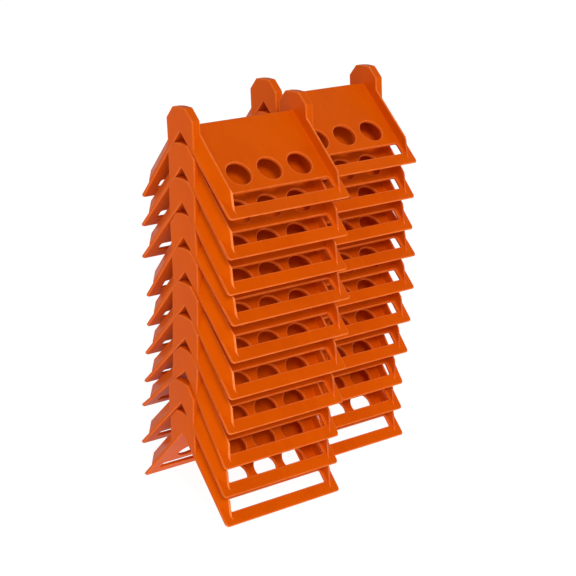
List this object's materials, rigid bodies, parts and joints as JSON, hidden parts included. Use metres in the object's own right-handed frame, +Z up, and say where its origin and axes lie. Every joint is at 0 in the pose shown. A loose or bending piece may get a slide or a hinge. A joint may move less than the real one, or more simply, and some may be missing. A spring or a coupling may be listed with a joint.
{
  "type": "strap corner protector set",
  "caption": "V-shaped plastic corner protectors for cargo straps, nested in two stacks. Each one lifts off the protector below it.",
  "frame": {"origin": "on the floor, at the middle of the outline of both stacks", "axes": "+X along the ridges, +Y across them towards the rear stack, +Z up"},
  "size_m": [0.2714, 0.2172, 0.3718],
  "materials": {
    "orange_plastic": "injection moulded, satin, bright orange"
  },
  "bodies": {
    "floor_pair": {"front_protector_01": "orange_plastic", "rear_protector_01": "orange_plastic"},
    "front_02": {"front_protector_02": "orange_plastic"},
    "front_03": {"front_protector_03": "orange_plastic"},
    "front_04": {"front_protector_04": "orange_plastic"},
    "front_05": {"front_protector_05": "orange_plastic"},
    "front_06": {"front_protector_06": "orange_plastic"},
    "front_07": {"front_protector_07": "orange_plastic"},
    "front_08": {"front_protector_08": "orange_plastic"},
    "front_09": {"front_protector_09": "orange_plastic"},
    "front_10": {"front_protector_10": "orange_plastic"},
    "rear_02": {"rear_protector_02": "orange_plastic"},
    "rear_03": {"rear_protector_03": "orange_plastic"},
    "rear_04": {"rear_protector_04": "orange_plastic"},
    "rear_05": {"rear_protector_05": "orange_plastic"},
    "rear_06": {"rear_protector_06": "orange_plastic"},
    "rear_07": {"rear_protector_07": "orange_plastic"},
    "rear_08": {"rear_protector_08": "orange_plastic"},
    "rear_09": {"rear_protector_09": "orange_plastic"},
    "rear_10": {"rear_protector_10": "orange_plastic"}
  },
  "joints": [
    {"name": "front_02_lift", "type": "slide", "parent": "floor_pair", "child": "front_02", "axis": [0, 0, 1], "range_m": [0, 0.07]},
    {"name": "front_03_lift", "type": "slide", "parent": "front_02", "child": "front_03", "axis": [0, 0, 1], "range_m": [0, 0.07]},
    {"name": "front_04_lift", "type": "slide", "parent": "front_03", "child": "front_04", "axis": [0, 0, 1], "range_m": [0, 0.07]},
    {"name": "front_05_lift", "type": "slide", "parent": "front_04", "child": "front_05", "axis": [0, 0, 1], "range_m": [0, 0.07]},
    {"name": "front_06_lift", "type": "slide", "parent": "front_05", "child": "front_06", "axis": [0, 0, 1], "range_m": [0, 0.07]},
    {"name": "front_07_lift", "type": "slide", "parent": "front_06", "child": "front_07", "axis": [0, 0, 1], "range_m": [0, 0.07]},
    {"name": "front_08_lift", "type": "slide", "parent": "front_07", "child": "front_08", "axis": [0, 0, 1], "range_m": [0, 0.07]},
    {"name": "front_09_lift", "type": "slide", "parent": "front_08", "child": "front_09", "axis": [0, 0, 1], "range_m": [0, 0.07]},
    {"name": "front_10_lift", "type": "slide", "parent": "front_09", "child": "front_10", "axis": [0, 0, 1], "range_m": [0, 0.07]},
    {"name": "rear_02_lift", "type": "slide", "parent": "floor_pair", "child": "rear_02", "axis": [0, 0, 1], "range_m": [0, 0.07]},
    {"name": "rear_03_lift", "type": "slide", "parent": "rear_02", "child": "rear_03", "axis": [0, 0, 1], "range_m": [0, 0.07]},
    {"name": "rear_04_lift", "type": "slide", "parent": "rear_03", "child": "rear_04", "axis": [0, 0, 1], "range_m": [0, 0.07]},
    {"name": "rear_05_lift", "type": "slide", "parent": "rear_04", "child": "rear_05", "axis": [0, 0, 1], "range_m": [0, 0.07]},
    {"name": "rear_06_lift", "type": "slide", "parent": "rear_05", "child": "rear_06", "axis": [0, 0, 1], "range_m": [0, 0.07]},
    {"name": "rear_07_lift", "type": "slide", "parent": "rear_06", "child": "rear_07", "axis": [0, 0, 1], "range_m": [0, 0.07]},
    {"name": "rear_08_lift", "type": "slide", "parent": "rear_07", "child": "rear_08", "axis": [0, 0, 1], "range_m": [0, 0.07]},
    {"name": "rear_09_lift", "type": "slide", "parent": "rear_08", "child": "rear_09", "axis": [0, 0, 1], "range_m": [0, 0.07]},
    {"name": "rear_10_lift", "type": "slide", "parent": "rear_09", "child": "rear_10", "axis": [0, 0, 1], "range_m": [0, 0.07]}
  ]
}
